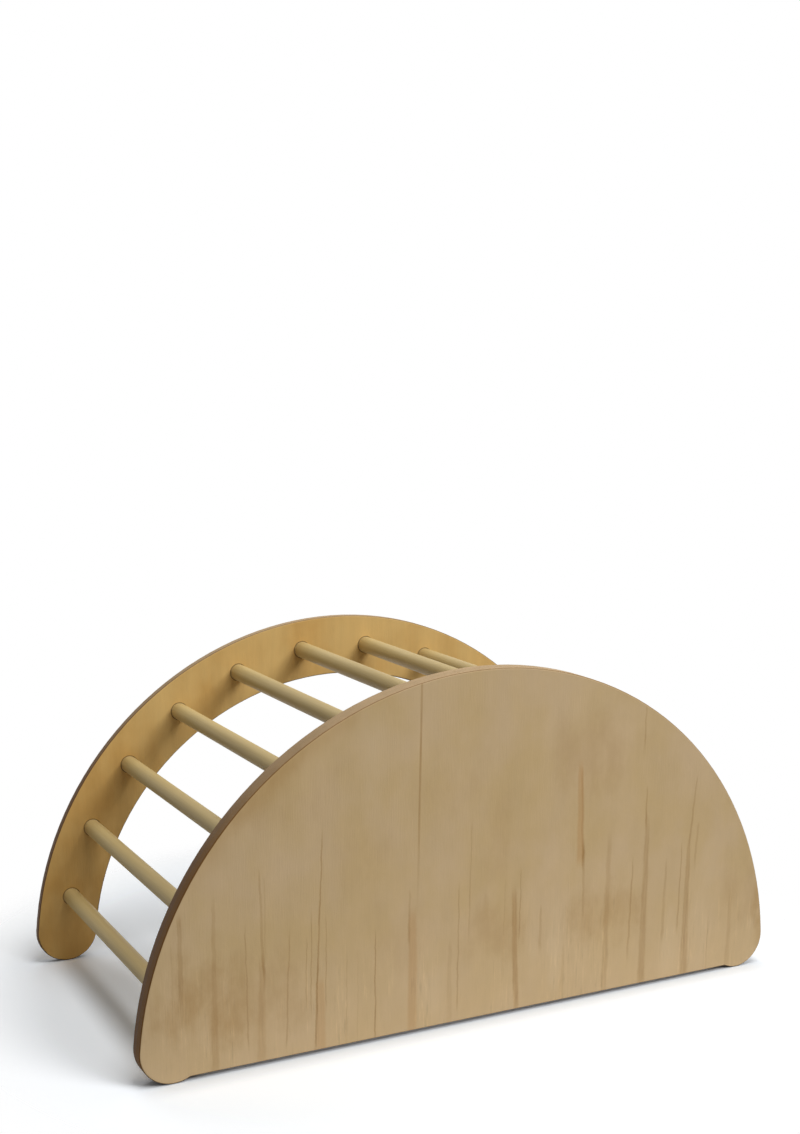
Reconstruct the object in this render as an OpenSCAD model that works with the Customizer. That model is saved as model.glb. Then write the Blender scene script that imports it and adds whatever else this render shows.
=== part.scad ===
// Wooden rocker arch: two plywood arches joined by round rungs, with a half-disc
// board that closes the front side. It stands on four round feet and, turned over,
// rocks on the two outer arcs. Millimetres, +Z up, +Y towards the open back side.
// The origin is on the floor, under the middle of the arch.

/* [Arches] */
// Radius of the outer arc, measured from the floor under the middle
outer_r = 460; // [420:5:520]
// Width of an arch, across its flat face
arch_w = 84; // [70:1:100]
// Thickness of the plywood of an arch
arch_t = 12; // [11:0.5:18]
// Clear width between the two arches
inner_w = 418; // [300:1:500]
// Radius of the rounded edges of the plywood
edge_r = 2; // [1:0.5:3]

/* [Cover board] */
// Thickness of the board that closes the front side
cover_t = 12; // [11:0.5:18]
// Height of the board's straight lower edge over the floor
foot_gap = 5; // [4:0.5:10]

/* [Rungs] */
// Diameter of a rung
rung_d = 23; // [20:0.5:30]
// Number of rungs
rung_count = 12; // [8:1:13]
// Angle of the lowest rung on each side, measured up from the floor
lowest_rung_angle = 13; // [12:0.5:18]
// Chamfer at the ends of a rung
rung_chamfer = 1; // [0.5:0.5:2]
// Depth of the blind socket that a rung stands in
socket_depth = 5; // [4:0.5:6]
// Radial play of a rung in its socket
socket_play = 0.3; // [0.2:0.1:0.6]

/* [Fasteners] */
// Diameter of a bolt's thread
bolt_d = 6; // [5:0.5:8]
// Diameter of a bolt's flat head
head_d = 14; // [12:0.5:16]
// Thickness of a bolt's flat head
head_h = 2.4; // [2:0.1:3]
// Width across the flats of the hexagon socket in a head
hex_w = 4; // [3:0.5:5]
// Depth of the hexagon socket
hex_depth = 3; // [2:0.5:4]
// Depth of a head below the face that it is let into
head_sink = 0.2; // [0.1:0.1:0.4]
// Radial play of a head in its recess
head_play = 0.5; // [0.3:0.1:1]
// Radial play of a bolt in the hole through an arch
hole_play = 0.25; // [0.2:0.05:0.5]
// How far a bolt reaches into a rung
bolt_reach = 20; // [16:1:24]
// Outer diameter of a threaded insert
insert_d = 9; // [9:0.5:11]
// Length of an insert in a rung
rung_insert_len = 15; // [10:0.5:15]
// Length of an insert in the cover board
cover_insert_len = 9; // [7:0.5:9]
// Distance from the tip of a cover bolt to the bottom of its insert
cover_tip_gap = 0.5; // [0.5:0.5:2]

/* [Hidden] */
// Radial play between a thread and its insert, and between an insert and its bore
thread_play = 0.05;
// Room behind the tip of a bolt in a rung
tip_room = 3;
// How far a cut runs past the face that it opens
over = 1;
// How far past the middle half a panel is turned before it is cut off, in degrees
crown_lap = 1;

arch_mid_r = outer_r - arch_w / 2;
arch_inner_r = outer_r - arch_w;
foot_r = arch_w / 2;
// A foot's centre is on the arch's middle line, one foot radius over the floor
foot_z = foot_r;
foot_x = sqrt(arch_mid_r * arch_mid_r - foot_z * foot_z);
foot_angle = asin(foot_z / arch_mid_r);

depth = cover_t + arch_t + inner_w + arch_t;
front_y = -depth / 2;
front_arch_y = front_y + cover_t;
front_inner_y = front_arch_y + arch_t;
back_inner_y = front_inner_y + inner_w;

rung_step = (180 - 2 * lowest_rung_angle) / (rung_count - 1);
rung_len = inner_w + 2 * socket_depth;
recess_depth = head_h + head_sink;
web_t = arch_t - socket_depth - recess_depth;
rung_bolt_len = web_t + bolt_reach;
cover_bolt_len = arch_t - recess_depth + cover_insert_len - cover_tip_gap;

arc_fn = 240;
hole_fn = 48;
edge_fn = 32;

function two_digits(n) = n < 10 ? str("0", n) : str(n);
function rung_name(n) = str("rung_", two_digits(n));
// Rung 1 is the lowest on the left, and the last rung the lowest on the right
function rung_angle(n) = 180 - lowest_rung_angle - (n - 1) * rung_step;
// A cover bolt stands midway between two rungs, in every second gap
function cover_bolt_angle(k) = rung_angle(k) - rung_step / 2;

rung_numbers = [for (n = [1:rung_count]) n];
rung_angles = [for (n = rung_numbers) rung_angle(n)];
cover_bolt_angles = [for (k = [1:2:rung_count - 1]) cover_bolt_angle(k)];

PANELS = ["cover_board", "front_arch", "back_arch"];
FIXINGS = [
    "front_rung_bolts", "back_rung_bolts", "front_rung_inserts", "back_rung_inserts",
    "cover_bolts", "cover_inserts"
];

// ---- Placing ----
// A panel and its fasteners are drawn lying flat: its inner face, the one towards
// the rungs, is at z = 0 and its outer face is up. X stays X, and Y becomes up.

// Stands the front side up, with the plane z = 0 at the front arch's inner face
module stand_front() {
    translate([0, front_inner_y, 0]) rotate([90, 0, 0]) children();
}

// Stands the back side up, with the plane z = 0 at the back arch's inner face
module stand_back() {
    translate([0, back_inner_y, 0]) mirror([0, 1, 0]) rotate([90, 0, 0]) children();
}

// Puts a copy on the arch's middle line at each angle in the list
module on_arch(angles) {
    for (a = angles) translate([arch_mid_r * cos(a), arch_mid_r * sin(a), 0]) children();
}

// ---- Plywood panels ----

// What a rounded corner of radius r takes off a square corner at the origin
module corner_waste(r) {
    difference() {
        square([r, r]);
        translate([r, r]) circle(r, $fn = edge_fn);
    }
}

// Section of a sheet t thick from x0 to x1, with its edges rounded by low_r at the
// bottom and high_r at the top. Its edge at x0 is left square if x0 is 0.
module sheet_section(x0, x1, t, low_r, high_r) {
    difference() {
        translate([x0, 0]) square([x1 - x0, t]);
        if (low_r > 0) translate([x1, 0]) mirror([1, 0]) corner_waste(low_r);
        if (high_r > 0) translate([x1, t]) mirror([1, 0]) mirror([0, 1]) corner_waste(high_r);
        if (x0 > 0 && low_r > 0) translate([x0, 0]) corner_waste(low_r);
        if (x0 > 0 && high_r > 0) translate([x0, t]) mirror([0, 1]) corner_waste(high_r);
    }
}

// Right half of a panel: a bow that runs down to the line through the foot's centre,
// where the full-round foot takes over. At the top it is cut off square in the middle.
module half_panel(x0, t, low_r, high_r) {
    difference() {
        rotate([0, 0, foot_angle]) {
            rotate_extrude(angle = 90 - foot_angle + crown_lap, $fn = arc_fn)
                sheet_section(x0, outer_r, t, low_r, high_r);
            translate([arch_mid_r, 0, 0])
                rotate([0, 0, 180])
                    rotate_extrude(angle = 180, $fn = arc_fn / 2)
                        sheet_section(0, foot_r, t, low_r, high_r);
        }
        translate([-outer_r, -over, -over]) cube([outer_r, outer_r + 2 * over, t + 2 * over]);
    }
}

// A whole panel, whose two halves are alike
module panel(x0, t, low_r, high_r) {
    half_panel(x0, t, low_r, high_r);
    mirror([1, 0, 0]) half_panel(x0, t, low_r, high_r);
}

// What a rung and its bolt take out of an arch: the blind socket in its inner face,
// the bolt's hole, and the recess for the bolt's head in its outer face
module rung_hole() {
    socket_r = rung_d / 2 + socket_play;
    hole_r = bolt_d / 2 + hole_play;
    recess_r = head_d / 2 + head_play;
    recess_z = arch_t - recess_depth;
    rotate_extrude($fn = hole_fn)
        polygon([
            [0, -over], [socket_r, -over], [socket_r, socket_depth], [hole_r, socket_depth],
            [hole_r, recess_z], [recess_r, recess_z], [recess_r, arch_t + over], [0, arch_t + over]
        ]);
}

// What a cover bolt takes out of the front arch: the recess for its head in the
// inner face, and its hole
module cover_bolt_hole() {
    hole_r = bolt_d / 2 + hole_play;
    recess_r = head_d / 2 + head_play;
    rotate_extrude($fn = hole_fn)
        polygon([
            [0, -over], [recess_r, -over], [recess_r, recess_depth], [hole_r, recess_depth],
            [hole_r, arch_t + over], [0, arch_t + over]
        ]);
}

// An arch with the holes for its rungs and their bolts. The children are cut out too.
// Its outer edges are rounded by outer_edge_r.
module arch(outer_edge_r) {
    difference() {
        panel(arch_inner_r, arch_t, edge_r, outer_edge_r);
        on_arch(rung_angles) rung_hole();
        children();
    }
}

module front_arch() {
    color("burlywood") stand_front() arch(0) on_arch(cover_bolt_angles) cover_bolt_hole();
}

module back_arch() {
    color("burlywood") stand_back() arch(edge_r);
}

// Lower rail of the cover board, whose rounded front edge is the straight one over
// the floor. It ends inside the feet.
module cover_rail() {
    rail_end = foot_x - edge_r * 2;
    translate([-rail_end, foot_gap, 0])
        rotate([90, 0, 90])
            linear_extrude(2 * rail_end)
                difference() {
                    square([foot_z - foot_gap, cover_t]);
                    translate([0, cover_t]) mirror([0, 1]) corner_waste(edge_r);
                }
}

// The half-disc board: its rear face is flat against the front arch. Between the feet
// the panel comes to a point at the floor, which is cut off to leave the rail's edge.
module cover_board() {
    clear_x = foot_x - foot_r;
    color("tan") stand_front() translate([0, 0, arch_t])
        difference() {
            union() {
                difference() {
                    panel(0, cover_t, 0, edge_r);
                    translate([-clear_x, -over, -over])
                        cube([2 * clear_x, foot_z / 2 + over, cover_t + 2 * over]);
                }
                cover_rail();
            }
            on_arch(cover_bolt_angles)
                translate([0, 0, -over])
                    cylinder(r = insert_d / 2, h = cover_insert_len + over, $fn = hole_fn);
        }
}

// ---- Rungs ----

// A dowel from socket floor to socket floor, bored at both ends for its inserts
module rung(n) {
    a = rung_angle(n);
    r = rung_d / 2;
    color("wheat")
        translate([arch_mid_r * cos(a), front_inner_y - socket_depth, arch_mid_r * sin(a)])
            rotate([-90, 0, 0])
                difference() {
                    rung_body(r);
                    rung_bore();
                    translate([0, 0, rung_len]) mirror([0, 0, 1]) rung_bore();
                }
}

// The turned dowel, with a small chamfer at each end
module rung_body(r) {
    c = rung_chamfer;
    rotate_extrude($fn = hole_fn)
        polygon([
            [0, 0], [r - c, 0], [r, c], [r, rung_len - c], [r - c, rung_len], [0, rung_len]
        ]);
}

// Bore for an insert, and behind it room for the bolt's tip
module rung_bore() {
    translate([0, 0, -over])
        cylinder(r = insert_d / 2, h = rung_insert_len + over, $fn = hole_fn);
    cylinder(r = bolt_d / 2 + hole_play, h = bolt_reach + tip_room, $fn = hole_fn);
}

// ---- Bolts and inserts ----

// A bolt with its head's underside at z = 0 and its shank down. The thread is plain.
module bolt(length) {
    difference() {
        union() {
            cylinder(r = head_d / 2, h = head_h, $fn = hole_fn);
            translate([0, 0, -length]) cylinder(r = bolt_d / 2, h = length + head_h / 2, $fn = hole_fn);
        }
        translate([0, 0, head_h - hex_depth])
            cylinder(r = hex_w / sqrt(3), h = hex_depth + over, $fn = 6);
    }
}

// The rung bolts of one side, in the flat frame of their arch
module rung_bolts() {
    color("silver") on_arch(rung_angles) translate([0, 0, arch_t - recess_depth]) bolt(rung_bolt_len);
}

module front_rung_bolts() {
    stand_front() rung_bolts();
}

module back_rung_bolts() {
    stand_back() rung_bolts();
}

// A plain sleeve for an insert, standing on z = 0
module insert(length) {
    difference() {
        cylinder(r = insert_d / 2 - thread_play, h = length, $fn = hole_fn);
        translate([0, 0, -over])
            cylinder(r = bolt_d / 2 + thread_play, h = length + 2 * over, $fn = hole_fn);
    }
}

// The inserts in one end of every rung, up against the bottom of their bores
module rung_inserts() {
    color("goldenrod") on_arch(rung_angles)
        translate([0, 0, socket_depth - rung_insert_len]) insert(rung_insert_len);
}

module front_rung_inserts() {
    stand_front() rung_inserts();
}

module back_rung_inserts() {
    stand_back() rung_inserts();
}

module cover_bolts() {
    color("silver") stand_front() on_arch(cover_bolt_angles)
        translate([0, 0, recess_depth]) mirror([0, 0, 1]) bolt(cover_bolt_len);
}

module cover_inserts() {
    color("goldenrod") stand_front() on_arch(cover_bolt_angles)
        translate([0, 0, arch_t]) insert(cover_insert_len);
}

cover_board();
front_arch();
back_arch();
for (n = rung_numbers) rung(n);
front_rung_bolts();
back_rung_bolts();
front_rung_inserts();
back_rung_inserts();
cover_bolts();
cover_inserts();
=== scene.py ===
from math import cos, pi, radians, sin

import bpy
from mathutils import Euler, Matrix, Vector


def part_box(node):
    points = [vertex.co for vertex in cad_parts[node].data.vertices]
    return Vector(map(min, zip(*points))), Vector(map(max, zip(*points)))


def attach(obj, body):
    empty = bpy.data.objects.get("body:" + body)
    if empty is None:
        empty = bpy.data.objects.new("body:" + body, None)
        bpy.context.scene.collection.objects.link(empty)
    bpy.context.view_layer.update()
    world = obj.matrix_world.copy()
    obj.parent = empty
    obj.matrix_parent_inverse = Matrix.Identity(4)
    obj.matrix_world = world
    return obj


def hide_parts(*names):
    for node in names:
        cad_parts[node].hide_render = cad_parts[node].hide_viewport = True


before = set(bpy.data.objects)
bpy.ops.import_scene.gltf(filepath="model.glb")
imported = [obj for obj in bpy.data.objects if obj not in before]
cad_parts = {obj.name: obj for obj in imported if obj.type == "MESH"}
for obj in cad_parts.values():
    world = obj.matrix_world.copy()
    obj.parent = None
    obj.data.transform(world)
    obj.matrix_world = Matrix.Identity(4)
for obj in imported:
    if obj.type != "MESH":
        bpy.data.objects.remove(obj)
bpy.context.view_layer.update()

bpy.ops.object.select_all(action="DESELECT")

# ---- The two arches ----
# Each is a ring sector with full-round legs, sawn out of one 12 mm sheet of plywood and sanded
# round at its edges. The face veneer runs upright, so the cut edge shows end grain and long
# grain in turn, ply by ply. Both have a warmer veneer than the board in front.
MM = 0.001


class Value:
    """What changes over a surface: one output socket, with arithmetic."""

    def __init__(self, wood, socket):
        self.wood = wood
        self.socket = socket

    def maths(self, operation, *numbers):
        return self.wood.node("ShaderNodeMath", {"operation": operation}, dict(enumerate(numbers)))

    def __add__(self, other):
        return self.maths("ADD", self, other)

    def __sub__(self, other):
        return self.maths("SUBTRACT", self, other)

    def __rsub__(self, other):
        return self.maths("SUBTRACT", other, self)

    def __mul__(self, other):
        return self.maths("MULTIPLY", self, other)

    def __truediv__(self, other):
        return self.maths("DIVIDE", self, other)

    def __mod__(self, other):
        return self.maths("FLOORED_MODULO", self, other)

    def __abs__(self):
        return self.maths("ABSOLUTE", self)

    __radd__ = __add__
    __rmul__ = __mul__

    def over(self, start, end, low=0.0, high=1.0):
        """Goes smoothly from low to high as this value goes from start to end."""
        return self.wood.node(
            "ShaderNodeMapRange",
            {"interpolation_type": "SMOOTHSTEP"},
            {"Value": self, "From Min": start, "From Max": end, "To Min": low, "To Max": high},
        )


class Surface:
    """A material or a world, made of nodes."""

    def __init__(self, holder):
        self.holder = holder
        holder.use_nodes = True
        self.tree = holder.node_tree
        self.tree.nodes.clear()

    def node(self, kind, settings, values, output=0):
        """Adds a node: its settings first, then the values or links of its sockets."""
        made = self.tree.nodes.new(kind)
        for name, setting in settings.items():
            setattr(made, name, setting)
        for name, value in values.items():
            if isinstance(value, Value):
                self.tree.links.new(value.socket, made.inputs[name])
            else:
                made.inputs[name].default_value = value
        return Value(self, made.outputs[output]) if made.outputs else None

    def place(self):
        return self.node("ShaderNodeTexCoord", {}, {}, "Object")

    def distance(self, place, point=(0, 0, 0)):
        values = {0: place, 1: point}
        return self.node("ShaderNodeVectorMath", {"operation": "DISTANCE"}, values, "Value")

    def normal(self):
        return self.node("ShaderNodeTexCoord", {}, {}, "Normal")

    def axis(self, vector, name):
        return self.node("ShaderNodeSeparateXYZ", {}, {"Vector": vector}, name)

    def axes(self, vector):
        return [self.axis(vector, name) for name in "XYZ"]

    def vector(self, x, y, z):
        return self.node("ShaderNodeCombineXYZ", {}, {"X": x, "Y": y, "Z": z})

    def noise(self, vector, scale, detail=2.0, roughness=0.5):
        """Cloudy noise around 0, mostly from -1 to 1."""
        values = {"Vector": vector, "Scale": scale, "Detail": detail, "Roughness": roughness}
        return self.node("ShaderNodeTexNoise", {}, values) * 4 - 2

    def blend(self, share, low, high):
        """A colour from low to high, by a share from 0 to 1."""
        return self.node("ShaderNodeMix", {"data_type": "RGBA"}, {0: share, 6: low, 7: high}, 2)

    def tint(self, colour, brightness):
        """A colour made lighter or darker by a factor."""
        grey = self.vector(brightness, brightness, brightness)
        plain = colour if isinstance(colour, Value) else colour[:3]
        return self.node("ShaderNodeVectorMath", {"operation": "MULTIPLY"}, {0: plain, 1: grey})

    def bump(self, height, distance):
        return self.node("ShaderNodeBump", {}, {"Height": height, "Distance": distance})

    def skin(self, **values):
        named = {name.replace("_", " "): value for name, value in values.items()}
        return self.node("ShaderNodeBsdfPrincipled", {}, named)

    def mixed(self, share, low, high):
        return self.node("ShaderNodeMixShader", {}, {0: share, 1: low, 2: high})

    def done(self, shader, kind="ShaderNodeOutputMaterial"):
        self.node(kind, {}, {"Surface": shader})
        return self.holder


def paint(red, green, blue):
    """A screen colour, 0 to 255 a channel, as the shader's linear one."""
    linear = [((channel / 255 + 0.055) / 1.055) ** 2.4 for channel in (red, green, blue)]
    return (*linear, 1.0)


def dress(name, material):
    """Gives a node of the frame its finish."""
    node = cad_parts[name]
    node.data.materials.clear()
    node.data.materials.append(material)


back_lowest, back_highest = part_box("back_arch")
front_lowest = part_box("front_arch")[0]
ply_count = 7
ply = (back_highest.y - back_lowest.y) / ply_count


def ply_edge(wood, sheet_y, side):
    """The sanded edge of plywood whose first face is at y = sheet_y, with painted light and sheen
    that make it paler where it faces up, and painted shade that makes it darker where it faces
    down.
    """
    place, normal = wood.place(), wood.normal()
    nx, nz = wood.axis(normal, "X"), wood.axis(normal, "Z")
    depth = (wood.axis(place, "Y") - sheet_y) / ply + 0.12 * wood.noise(place, 25)
    crosswise = depth.maths("FLOOR", depth) % 2.0
    endwise = crosswise * abs(nx) + (1 - crosswise) * abs(nz)
    glue = abs(depth % 1.0 - 0.5).over(0.42, 0.5)
    pores = wood.noise(place, 1400, 1).over(0.2, 1.4)
    patches = wood.noise(place, 45, 3)
    shade = 1.06 - 0.16 * endwise - 0.25 * glue - 0.12 * pores + 0.07 * patches
    # Painted shade darkens the edge where it faces down, and painted light and sheen make it paler
    # where it faces up.
    shade = shade * nz.over(-0.7, -0.1, 0.45, 1.0)
    colour = wood.blend(nz.over(0.5, 1.0), side, paint(180, 152, 114))
    return wood.skin(
        Base_Color=wood.tint(colour, shade),
        Roughness=0.6,
        Specular_IOR_Level=0.15,
        Normal=wood.bump(shade, 0.2 * MM),
    )


def plywood(wood, sheet_y, colour, fibre, side):
    """A sheet with this face colour, and plies wherever its surface turns away from the face."""
    face = wood.skin(
        Base_Color=colour,
        Roughness=0.55,
        Specular_IOR_Level=0.3,
        Normal=wood.bump(fibre, 0.05 * MM),
    )
    turned_away = abs(wood.axis(wood.normal(), "Y")).over(0.96, 0.75)
    return wood.done(wood.mixed(turned_away, face, ply_edge(wood, sheet_y, side)))


def upright_grain(wood):
    """Noises of face veneer whose grain runs upright: fine fibres, soft bands and wide clouds."""
    x, y, z = wood.axes(wood.place())
    fibre = wood.noise(wood.vector(x, y, z * 0.05), 900, 2, 0.6)
    band = wood.noise(wood.vector(x, y, z * 0.08), 55, 3, 0.6)
    cloud = wood.noise(wood.vector(x, y, z * 0.7), 14, 3, 0.55)
    return fibre, band, cloud


rung_names = sorted(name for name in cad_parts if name.startswith("rung_"))
rung_middles = [sum(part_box(name), Vector()) / 2 for name in rung_names]
rung_radius = 11.5 * MM


def painted_socket_shade(wood, inwards):
    """Painted shade in a thin ring round each rung's socket, on the face that looks inwards (y -1
    or 1).
    """
    place = wood.place()
    flat = wood.vector(wood.axis(place, "X"), 0, wood.axis(place, "Z"))
    nearest = 1.0
    for middle in rung_middles:
        away = wood.distance(flat, (middle.x, 0, middle.z))
        nearest = away.maths("MINIMUM", away, nearest)
    ring = nearest.over(rung_radius + 1.6 * MM, rung_radius + 0.8 * MM)
    inner_face = (inwards * wood.axis(wood.normal(), "Y")).over(0, 0.5)
    return ring * inner_face


def arch_plywood(name, sheet_y, inwards):
    """An arch's plywood, a little deeper in colour lower down, whose inner face holds the rungs."""
    wood = Surface(bpy.data.materials.new(name))
    fibre, band, cloud = upright_grain(wood)
    height = wood.axis(wood.place(), "Z")
    deeper = (height * 4 + 1.6 * cloud).over(2.4, -0.6)
    colour = wood.blend(deeper, paint(210, 175, 110), paint(200, 157, 87))
    # Painted shade in a thin ring where each rung enters its socket.
    socket_shade_strength = 0.65
    colour = wood.blend(socket_shade_strength * painted_socket_shade(wood, inwards), colour, paint(76, 47, 23))
    shade = 1.0 + 0.02 * fibre + 0.06 * band + 0.04 * cloud
    return plywood(wood, sheet_y, wood.tint(colour, shade), fibre, paint(105, 76, 48))


dress("back_arch", arch_plywood("back_arch_plywood", back_lowest.y, -1))
dress("front_arch", arch_plywood("front_arch_plywood", front_lowest.y, 1))

# ---- The rungs ----
# Twelve turned dowels of pale hardwood, 23 mm thick, sanded smooth and chamfered at each end,
# which sit in blind sockets in both arches. The grain runs along each rung, and no two rungs
# are cut from the same piece of wood.


def rung_wood(name, shift, brightness):
    """The wood of one rung, taken from its own part of the grain by the shift."""
    wood = Surface(bpy.data.materials.new(name))
    place = wood.place()
    x, y, z = wood.axes(place)
    along = wood.vector(x, y * 0.03 + shift, z)
    fibre = wood.noise(along, 1100, 2, 0.6)
    band = wood.noise(along, 160, 2)
    colour = wood.blend(band.over(-1.4, 1.4), paint(196, 173, 120), paint(185, 161, 106))
    end_grain = abs(wood.axis(wood.normal(), "Y")).over(0.5, 0.8)
    # Painted light: each rung is up to about an eighth lighter towards its back end, near the back
    # arch.
    painted_light_towards_back = y.over(-0.05, 0.2, 0.95, 1.08)
    shade = (brightness + 0.03 * fibre + 0.02 * wood.noise(place, 12)) * painted_light_towards_back
    shade = shade - 0.25 * end_grain
    skin = wood.skin(
        Base_Color=wood.tint(colour, shade),
        Roughness=0.5,
        Specular_IOR_Level=0.3,
        Normal=wood.bump(fibre, 0.04 * MM),
    )
    return wood.done(skin)


for number, name in enumerate(rung_names):
    shift = 0.37 * number
    brightness = 1.0 + 0.03 * sin(2.4 * number)
    dress(name, rung_wood(name + "_wood", shift, brightness))

# ---- The inserts in the rungs ----
# Each end of a rung holds a threaded sleeve of yellow plated steel, screwed in flush with the
# end grain. A coarse sharp thread round its outside cuts into the wood, and the bolt runs in it.
def plated_steel(name, colour, clouding, smoothest, roughest):
    """Plated steel with faint clouds in its colour, and in its roughness between two values."""
    metal = Surface(bpy.data.materials.new(name))
    place = metal.place()
    skin = metal.skin(
        Base_Color=metal.tint(colour, 1.0 + clouding * metal.noise(place, 300)),
        Metallic=1.0,
        Roughness=metal.noise(place, 500).over(-1.5, 1.5, smoothest, roughest),
    )
    return metal.done(skin)


yellow = plated_steel("yellow_plated_steel", paint(196, 164, 92), 0.06, 0.3, 0.45)


def choose_alone(piece):
    bpy.ops.object.select_all(action="DESELECT")
    piece.select_set(True)
    bpy.context.view_layer.objects.active = piece


def apply_modifier(piece, kind, **settings):
    modifier = piece.modifiers.new("shaping", kind)
    for name, setting in settings.items():
        setattr(modifier, name, setting)
    choose_alone(piece)
    bpy.ops.object.modifier_apply(modifier=modifier.name)


def cut_or_join(piece, tool, operation):
    """Cuts a tool out of a piece, or joins the two into one solid, and deletes the tool."""
    apply_modifier(piece, "BOOLEAN", operation=operation, object=tool, solver="EXACT")
    bpy.data.objects.remove(tool)


def cylinder(radius, top, bottom, sides=64):
    """A cylinder on the Z axis, with its place in its mesh."""
    middle = (0, 0, (top + bottom) / 2)
    bpy.ops.mesh.primitive_cylinder_add(
        vertices=sides, radius=radius, depth=top - bottom, location=middle
    )
    bpy.ops.object.transform_apply()
    return bpy.context.object


def thread_ridge(crest, size, pitch, top, bottom):
    """A three-cornered ridge wound round the Z axis, with its sharp side out at the crest."""
    bpy.ops.mesh.primitive_circle_add(
        vertices=3, radius=size, location=(crest - size, 0, top), rotation=(pi / 2, pi / 2, 0)
    )
    bpy.ops.object.transform_apply()
    ridge = bpy.context.object
    turns = int((top - bottom) / pitch)
    steps = 20
    apply_modifier(
        ridge, "SCREW", screw_offset=-pitch, iterations=turns, steps=steps, render_steps=steps
    )
    bpy.ops.object.mode_set(mode="EDIT")
    bpy.ops.mesh.select_all(action="SELECT")
    bpy.ops.mesh.fill_holes(sides=3)
    bpy.ops.mesh.normals_make_consistent(inside=False)
    bpy.ops.object.mode_set(mode="OBJECT")
    return ridge


def insert(length):
    """A threaded sleeve that stands under z = 0."""
    body_radius, crest_radius, bore_radius = 3.9 * MM, 4.45 * MM, 3.05 * MM
    thread_pitch, ridge_size, end_land = 2 * MM, 0.5 * MM, 0.4 * MM
    piece = cylinder(body_radius, 0, -length)
    wound = thread_ridge(
        crest_radius, ridge_size, thread_pitch, -thread_pitch / 2, end_land - length
    )
    cut_or_join(piece, wound, "UNION")
    cut_or_join(piece, cylinder(bore_radius, MM, -length - MM), "DIFFERENCE")
    piece.data.materials.append(yellow)
    return piece


def set_out(model, name, node, places, facing):
    """Puts a copy of the model at each place, its top to the front (-1) or back (1), as one piece.

    The model itself is deleted. Each copy is turned round its own axis by another angle.
    """
    copies = []
    for number, place in enumerate(places):
        copy = model.copy()
        copy.data = model.data.copy()
        lying = Matrix.Rotation(-facing * pi / 2, 4, "X") @ Matrix.Rotation(2.4 * number, 4, "Z")
        copy.data.transform(Matrix.Translation(place) @ lying)
        bpy.context.scene.collection.objects.link(copy)
        copies.append(copy)
    bpy.data.objects.remove(model)
    choose_alone(copies[0])
    for copy in copies:
        copy.select_set(True)
    bpy.ops.object.join()
    group = copies[0]
    group.name = name
    bpy.ops.object.shade_smooth_by_angle(angle=radians(30))
    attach(group, "root")
    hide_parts(node)


front, back = -1, 1


def rung_places(y):
    """The middle of each rung, at this y."""
    return [Vector((middle.x, y, middle.z)) for middle in rung_middles]


for side, node in ((front, "front_rung_inserts"), (back, "back_rung_inserts")):
    lowest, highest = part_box(node)
    sleeve = insert(highest.y - lowest.y)
    mouth = lowest.y if side == front else highest.y
    name = node.replace("inserts", "threaded_inserts")
    set_out(sleeve, name, node, rung_places(mouth), side)

# ---- The rung bolts ----
# Every rung is pulled tight by a connector bolt through each arch, of bright zinc plated
# steel. It has a wide flat head with a rounded rim and a hexagon socket, a plain neck where it
# passes the plywood, and an M6 thread. Its head lies in a counterbore, just below the surface.
head_height = 2.4 * MM
bright_steel = plated_steel("zinc_plated_steel", paint(180, 182, 184), 0.05, 0.22, 0.38)


def choose_end(piece, side):
    """Selects the flat end that faces up (1) or down (-1) and lies furthest that way."""
    bpy.ops.object.mode_set(mode="EDIT")
    bpy.ops.mesh.select_mode(type="FACE")
    bpy.ops.mesh.select_all(action="DESELECT")
    bpy.ops.object.mode_set(mode="OBJECT")
    flat = [face for face in piece.data.polygons if face.normal.z * side > 0.9]
    max(flat, key=lambda face: face.center.z * side).select = True
    bpy.ops.object.mode_set(mode="EDIT")


def bolt(neck_length, length):
    """A connector bolt with the underside of its head at z = 0 and its shank down."""
    head_radius, head_rounding = 7 * MM, 0.8 * MM
    neck_radius, core_radius, tip_chamfer = 2.95 * MM, 2.45 * MM, 0.4 * MM
    piece = cylinder(head_radius, head_height, 0)
    choose_end(piece, 1)
    bpy.ops.mesh.bevel(offset=head_rounding, segments=4, affect="EDGES")
    choose_end(piece, -1)
    bpy.ops.mesh.inset(thickness=head_radius - neck_radius)
    bpy.ops.mesh.extrude_region_move(TRANSFORM_OT_translate={"value": (0, 0, -neck_length)})
    bpy.ops.mesh.inset(thickness=neck_radius - core_radius)
    down = neck_length + tip_chamfer - length
    bpy.ops.mesh.extrude_region_move(TRANSFORM_OT_translate={"value": (0, 0, down)})
    bpy.ops.mesh.inset(thickness=tip_chamfer, depth=tip_chamfer)
    bpy.ops.object.mode_set(mode="OBJECT")

    thread_pitch, ridge_size, crest_radius = 1 * MM, 0.52 * MM, 2.98 * MM
    first_turn, last_turn = -neck_length - thread_pitch / 3, thread_pitch - length
    wound = thread_ridge(crest_radius, ridge_size, thread_pitch, first_turn, last_turn)
    cut_or_join(piece, wound, "UNION")
    hex_width, hex_depth = 4 * MM, 3 * MM
    socket_radius, socket_floor = hex_width / 3**0.5, head_height - hex_depth
    socket = cylinder(socket_radius, head_height + MM, socket_floor, sides=6)
    cut_or_join(piece, socket, "DIFFERENCE")
    mouth_radius = socket_radius + 0.15 * MM
    bpy.ops.mesh.primitive_cone_add(
        vertices=64,
        radius1=0,
        radius2=2 * mouth_radius,
        depth=2 * mouth_radius,
        location=(0, 0, head_height),
    )
    bpy.ops.object.transform_apply()
    cut_or_join(piece, bpy.context.object, "DIFFERENCE")
    piece.data.materials.append(bright_steel)
    return piece


rung_bolt_neck = 4.4 * MM
for side, node in ((front, "front_rung_bolts"), (back, "back_rung_bolts")):
    lowest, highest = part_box(node)
    model = bolt(rung_bolt_neck, highest.y - lowest.y - head_height)
    under_head = lowest.y + head_height if side == front else highest.y - head_height
    name = node.replace("bolts", "connector_bolts")
    set_out(model, name, node, rung_places(under_head), side)

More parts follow.
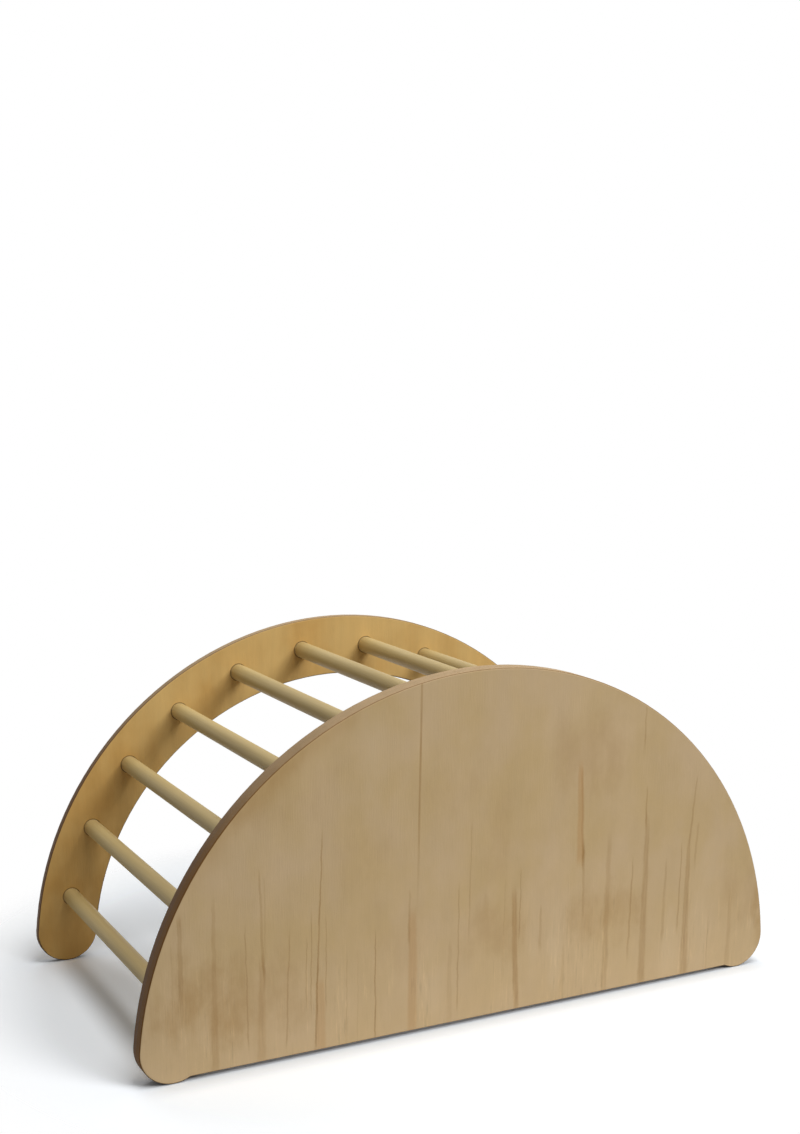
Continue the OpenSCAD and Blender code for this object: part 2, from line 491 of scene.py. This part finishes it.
# ---- The cover board ----
# A half-disc of the same plywood that closes the front, held by six bolts from behind. Its face
# veneer is paler than the arches', with wide brown clouds, thin brown streaks that rise from
# the foot, and a seam between two leaves of veneer. The rear face has a plain leaf.
board_lowest, board_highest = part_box("cover_board")
board = Surface(bpy.data.materials.new("cover_board_plywood"))
fibre, band, cloud = upright_grain(board)
x, y, z = board.axes(board.place())
across = x * 1000 + 1.5 * board.noise(board.vector(x * 0.5, 0, z), 28, 5, 0.65)
up = z * 1000

# Each streak in mm: x at its foot and at its tip, z at its foot and at its tip, half its width
# at its foot and at its tip, and then how dark and how orange it is.
streaks = (
    (-405, -404, 95, 210, 4, 3, 0.5, 0.0),
    (-415, -415, 100, 175, 1.5, 1, 0.3, 0.0),
    (-365, -362, 0, 225, 6, 2, 0.4, 0.2),
    (-323, -323, 25, 185, 1.3, 0.8, 0.5, 0.0),
    (-306, -303, 0, 140, 7, 4, 0.35, 0.3),
    (-300, -305, 110, 250, 2.5, 1.2, 0.45, 0.0),
    (-298, -298, 140, 240, 1.2, 0.8, 0.35, 0.0),
    (-273, -267, 15, 170, 1.5, 1, 0.5, 0.0),
    (-246, -245, 65, 155, 1, 0.7, 0.5, 0.0),
    (-240, -238, 55, 190, 1, 0.7, 0.5, 0.0),
    (-235, -223, 5, 290, 1.7, 1, 0.65, 0.0),
    (-227, -227, 0, 100, 8, 6, 0.1, 0.6),
    (-220, -219, 60, 180, 1, 0.7, 0.5, 0.0),
    (-192, -192, 0, 125, 1, 0.7, 0.4, 0.0),
    (-177, -177, 5, 130, 1, 0.7, 0.3, 0.0),
    (-153, -153, 0, 150, 1.3, 0.8, 0.65, 0.0),
    (-106, -106, 125, 195, 2, 1.5, 0.4, 0.0),
    (-101, -101, 0, 170, 8, 6, 0.2, 0.6),
    (-48, -48, 0, 120, 5, 3, 0.3, 0.0),
    (-36, -36, 20, 195, 1.5, 0.9, 0.5, 0.0),
    (-21, -19, 115, 275, 1.5, 1, 0.4, 0.0),
    (31, 31, 50, 195, 1.2, 0.9, 0.3, 0.1),
    (53, 44, 0, 175, 5, 4, 0.5, 0.4),
    (54, 54, 100, 200, 1.2, 0.8, 0.5, 0.0),
    (87, 86, 80, 145, 3, 1.5, 0.4, 0.0),
    (123, 123, 0, 85, 4, 2, 0.3, 0.1),
    (144, 139, 190, 330, 6, 4, 0.1, 0.7),
    (149, 142, 190, 320, 2.5, 2, 0.3, 0.2),
    (152, 149, 115, 220, 2, 2.5, 0.45, 0.0),
    (190, 189, 0, 230, 6, 4, 0.4, 0.1),
    (227, 228, 45, 190, 2, 1.2, 0.5, 0.0),
    (237, 237, 335, 395, 1.5, 1, 0.5, 0.0),
    (252, 248, 0, 240, 7, 4, 0.5, 0.15),
    (246, 245, 230, 285, 2, 1, 0.5, 0.0),
    (283, 283, 60, 180, 3.5, 1.5, 0.4, 0.0),
    (308, 308, 70, 200, 1.7, 1, 0.5, 0.0),
    (323, 319, 0, 200, 8, 3, 0.5, 0.15),
    (320, 326, 195, 290, 2, 1.2, 0.5, 0.0),
    (331, 333, 160, 225, 2, 2, 0.4, 0.0),
    (362, 360, 0, 90, 1.5, 1, 0.3, 0.0),
    (398, 397, 0, 115, 5, 3, 0.35, 0.0),
)


def streak(foot_x, tip_x, foot_z, tip_z, foot_half, tip_half):
    """How much one streak shows, from 0 to 1."""
    rise = tip_z - foot_z
    lean = (tip_x - foot_x) / rise
    growth = (tip_half - foot_half) / rise
    middle = lean * up + (foot_x - lean * foot_z)
    half_width = growth * up + (foot_half - growth * foot_z)
    beside = (abs(across - middle) / half_width).over(1.3, 0.5)
    begun = up.over(foot_z - 15, foot_z + 15)
    ended = up.over(tip_z - 0.12 * rise, tip_z + 0.08 * rise)
    return beside * begun * (1 - ended)


darkness, orange = 0, 0
for *shape, dark, warm in streaks:
    shown = streak(*shape)
    darkness = darkness + dark * shown
    if warm:
        orange = orange + warm * shown

# Each wider patch in mm: the x and z of its middle, half its width and height, and how much
# browner it is than the rest, or how much paler where that is negative.
patches = (
    (-270, 345, 60, 50, 0.35),
    (-395, 255, 50, 60, 0.15),
    (-400, 90, 60, 80, 0.3),
    (-330, 100, 90, 60, 0.5),
    (-155, 358, 19, 80, -0.5),
    (-165, 245, 35, 50, 0.35),
    (-115, 120, 50, 50, 0.3),
    (-75, 45, 16, 60, -0.6),
    (-60, 315, 60, 30, 0.3),
    (25, 118, 50, 40, 0.5),
    (20, 240, 22, 80, 0.35),
    (75, 100, 9, 50, -0.6),
    (110, 75, 12, 60, -0.7),
    (165, 335, 70, 55, 0.45),
    (190, 110, 60, 45, 0.6),
    (295, 45, 16, 60, -0.7),
    (350, 110, 24, 85, -0.5),
    (410, 105, 45, 50, 0.4),
    (457, 50, 16, 60, 0.6),
)
mottle = board.noise(board.vector(x, y, z * 0.6), 30, 5, 0.6)


def patch(middle_x, middle_z, half_width, half_height, strength):
    """One patch with a ragged outline, from 0 round it to its strength in its middle."""
    sideways = (across - middle_x) / half_width
    upwards = (up - middle_z) / half_height
    ragged = sideways * sideways + upwards * upwards + 0.7 * cloud + 0.4 * band + 0.9 * mottle
    return ragged.over(2.2, -0.6, 0, strength)


browner = sum(patch(*values) for values in patches)
from_centre = board.distance(board.vector(x, 0, z))
towards_rim = from_centre.over(board_highest.z - 35 * MM, board_highest.z - 2 * MM)
browner = browner + 0.5 * towards_rim * across.over(-60, -200) * up.over(200, 320)
front_leaf = board.axis(board.normal(), "Y").over(0.5, -0.5)
browner = browner * front_leaf
seam_foot, seam_lean = -96.5, 0.01
seam = abs(x * 1000 - seam_lean * up - seam_foot).over(2.2, 0.8) * up.over(120, 300, 0, 0.65)
low = up.over(200, 60)
fine = board.noise(board.vector(x, y, z * 0.07), 300, 4, 0.7)
flecks = (fine.over(0.1, 0.9) - fine.over(-0.1, -0.9)) * band.over(-0.3, 0.7)
lines = ((darkness + seam) * (1 + 0.3 * fine) * front_leaf).over(0, 1.2, 0, 0.85)
colour = board.blend(cloud.over(-1.0, 1.0), paint(196, 170, 132), paint(191, 164, 118))
colour = board.blend(low.over(0, 2), colour, paint(198, 172, 133))
colour = board.blend(browner.over(0, 1.3), colour, paint(170, 135, 82))
colour = board.blend(browner.over(0, -1.5), colour, paint(206, 182, 145))
colour = board.blend((orange * front_leaf).over(0, 1.5), colour, paint(180, 138, 86))
colour = board.blend(lines, colour, paint(146, 110, 58))
shade = 1.0 + 0.015 * fibre + 0.02 * band + 0.035 * mottle - 0.2 * low * flecks
figured = board.tint(colour, shade)
dress("cover_board", plywood(board, board_lowest.y, figured, fibre, paint(110, 74, 26)))

# ---- The cover board's inserts and bolts ----
# Six short bolts of the same kind pass through the front arch from inside and run in sleeves
# in the board's rear face, so that its front stays plain. Each stands between two rungs.
between = []
for first, second in zip(rung_middles[::2], rung_middles[1::2]):
    sideways, upwards = (first.xz + second.xz).normalized() * first.xz.length
    between.append(Vector((sideways, 0, upwards)))

lowest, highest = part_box("cover_inserts")
sleeve = insert(highest.y - lowest.y)
places = [place + Vector((0, highest.y, 0)) for place in between]
set_out(sleeve, "cover_threaded_inserts", "cover_inserts", places, back)

cover_bolt_neck = 9 * MM
lowest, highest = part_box("cover_bolts")
model = bolt(cover_bolt_neck, highest.y - lowest.y - head_height)
places = [place + Vector((0, highest.y - head_height, 0)) for place in between]
set_out(model, "cover_connector_bolts", "cover_bolts", places, back)

# ---- Floor ----
# A pale floor that fades into the white surround round the object. The camera sees it brighter than
# the object does, so that only the shadow and a thin line along the board's foot are grey. Within
# 40 mm of the board's foot, the floor the camera sees also carries painted shade, up to about a
# quarter darker.
white = Surface(bpy.data.materials.new("white_floor"))
floor_place = white.place()
# Painted shade on the floor along the board's foot.
beside_board = abs(white.axis(floor_place, "Y") - board_lowest.y).over(40 * MM, 0)
painted_shade_along_board = abs(white.axis(floor_place, "X")).over(0.47, 0.42) * beside_board
seen_directly = white.node("ShaderNodeLightPath", {}, {}, "Is Camera Ray")
seen_colour = white.tint((1.03, 1.07, 1.11, 1.0), 1 - 0.24 * painted_shade_along_board)
floor_colour = white.blend(seen_directly, (0.7, 0.7, 0.7, 1.0), seen_colour)
lit = white.node("ShaderNodeBsdfDiffuse", {}, {"Color": floor_colour})
clear = white.node("ShaderNodeBsdfTransparent", {}, {})
fade_start, fade_end = 0.48, 0.68
fade = white.distance(floor_place).over(fade_start, fade_end)
white.done(white.mixed(fade, lit, clear))
floor_width, floor_drop = 6, 0.2 * MM
bpy.ops.mesh.primitive_plane_add(size=floor_width, location=(0, 0, -floor_drop))
floor = bpy.context.object
floor.name = "floor"
floor.data.materials.append(white.holder)

# ---- Surround ----
# White where the camera, a reflection or a clear piece looks at it, and dim as a light.
surround = Surface(bpy.data.worlds.new("white_surround"))
bpy.context.scene.world = surround.holder
straight, glossy, through = (
    surround.node("ShaderNodeLightPath", {}, {}, f"Is {kind} Ray")
    for kind in ("Camera", "Glossy", "Transmission")
)
seen = straight.maths("MAXIMUM", straight.maths("MAXIMUM", straight, glossy), through)
as_light, as_seen = 0.21, 1.0
white_light = {"Color": (1.0, 1.0, 1.0, 1.0), "Strength": seen.over(0, 1, as_light, as_seen)}
surround.done(surround.node("ShaderNodeBackground", {}, white_light), "ShaderNodeOutputWorld")

# ---- Lamps ----
# Large soft boxes: the main one in front, a little to the right, one overhead and a weak one
# behind. A level of 1 lights a surface that faces the lamp so that it shows its own colour.
distance, lamp_width = 4.0, 1.8
lit_point = Vector((0, 0, 0.2))
for name, azimuth, elevation, level in (
    ("main_box", -60, 37, 0.56),
    ("top_box", -80, 75, 0.4),
    ("back_box", 90, 60, 0.14),
):
    turn, lift = radians(azimuth), radians(elevation)
    towards = Vector((cos(lift) * cos(turn), cos(lift) * sin(turn), sin(lift)))
    box = bpy.data.lights.new(name, "AREA")
    box.shape = "DISK"
    box.size = lamp_width
    box.energy = pi * pi * distance**2 * level
    lamp = bpy.data.objects.new(name, box)
    bpy.context.scene.collection.objects.link(lamp)
    lamp.location = towards * distance + lit_point
    lamp.rotation_euler = towards.to_track_quat("Z", "Y").to_euler()

# ---- Camera ----
# Placed as in the photo: in front, to the left and above. The lens is shifted, because the
# object stands low in the picture. The photo's height, focal length and centre are in pixels.
camera_place = (-0.9561, -1.8290, 0.8191)
yaw, pitch, roll = radians(27.559), radians(16.941), radians(0.425)
photo_height = 1134
focal_length = 1561.86
centre_from_top = 833.11
view = bpy.data.cameras.new("camera")
view.sensor_fit = "VERTICAL"
view.sensor_height = 36
view.lens = focal_length / photo_height * view.sensor_height
view.shift_y = (centre_from_top - photo_height / 2) / photo_height
view.clip_start = 0.05
camera = bpy.data.objects.new("camera", view)
bpy.context.scene.collection.objects.link(camera)
turn = Euler((pi / 2 - pitch, 0, -yaw)).to_matrix() @ Matrix.Rotation(roll, 3, "Z")
camera.matrix_world = Matrix.Translation(camera_place) @ turn.to_4x4()
bpy.context.scene.camera = camera
bpy.context.scene.view_settings.view_transform = "Standard"
